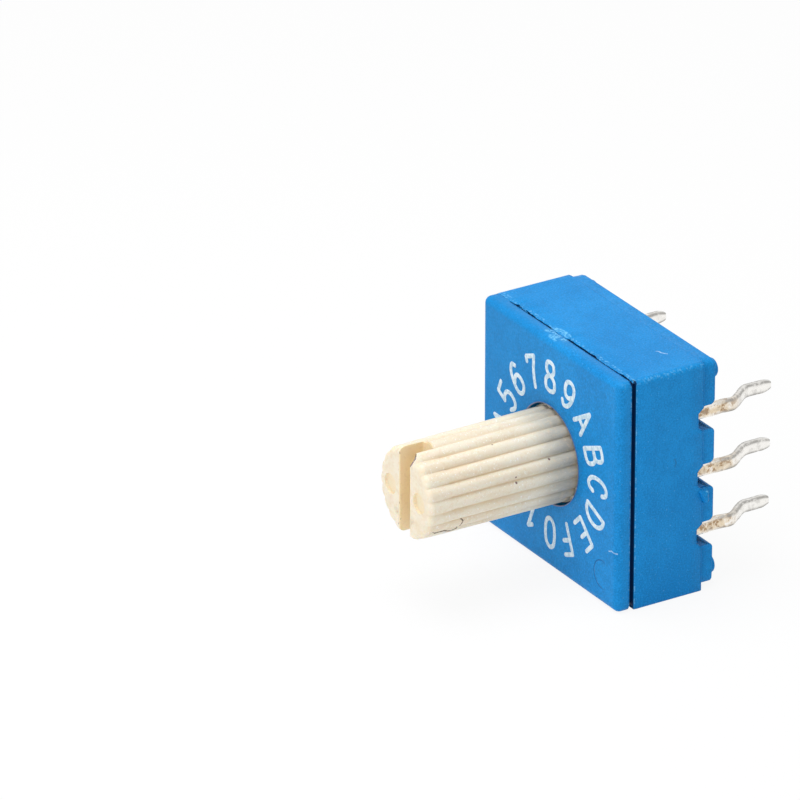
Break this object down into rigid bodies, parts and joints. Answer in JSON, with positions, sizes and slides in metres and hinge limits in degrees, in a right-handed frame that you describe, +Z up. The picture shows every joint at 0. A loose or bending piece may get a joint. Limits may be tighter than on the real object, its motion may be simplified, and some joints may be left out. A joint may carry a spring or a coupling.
{
  "type": "rotary coded switch",
  "caption": "Square rotary coded switch for a circuit board, with a ribbed slotted shaft, a marked dial face and two rows of bent solder pins.",
  "frame": {"origin": "on the shaft axis, in the plane of the four standoff pips that rest on the circuit board", "axes": "+Y along the solder pins into the board, so the shaft points along -Y; +Z up with the switch lying on its side face, dial character 0 at the bottom; +X to the right seen from the front"},
  "size_m": [0.0104, 0.0147, 0.01],
  "materials": {
    "blue_plastic": "moulded, satin",
    "cream_plastic": "moulded, satin, slightly speckled",
    "sealing_resin": "poured, smooth",
    "seal_rubber": "smooth",
    "spring_steel": "rolled",
    "board_laminate": "laminate",
    "code_metal": "gold flash",
    "contact_metal": "gold flash",
    "tinned_strip": "tinned, copper showing at the bends",
    "dial_ink": "printed, slightly raised"
  },
  "bodies": {
    "housing": {"front_cover": "blue_plastic", "case": "blue_plastic", "base": "blue_plastic", "base_resin": "sealing_resin", "shaft_seal": "seal_rubber", "detent_spring_left": "spring_steel", "detent_spring_right": "spring_steel", "contact_1": "contact_metal", "contact_2": "contact_metal", "contact_4": "contact_metal", "contact_8": "contact_metal", "contact_common_left": "contact_metal", "contact_common_right": "contact_metal", "terminal_1": "tinned_strip", "terminal_2": "tinned_strip", "terminal_4": "tinned_strip", "terminal_8": "tinned_strip", "terminal_common_left": "tinned_strip", "terminal_common_right": "tinned_strip"},
    "rotor_group": {"rotor": "cream_plastic", "code_disc": "board_laminate", "code_plate": "code_metal"}
  },
  "joints": [
    {"name": "shaft_turn", "type": "hinge", "parent": "housing", "child": "rotor_group", "pos_m": [0, 0, 0], "axis": [0, 1, 0], "continuous": true, "deforming": ["detent_spring_left", "detent_spring_right"]}
  ]
}
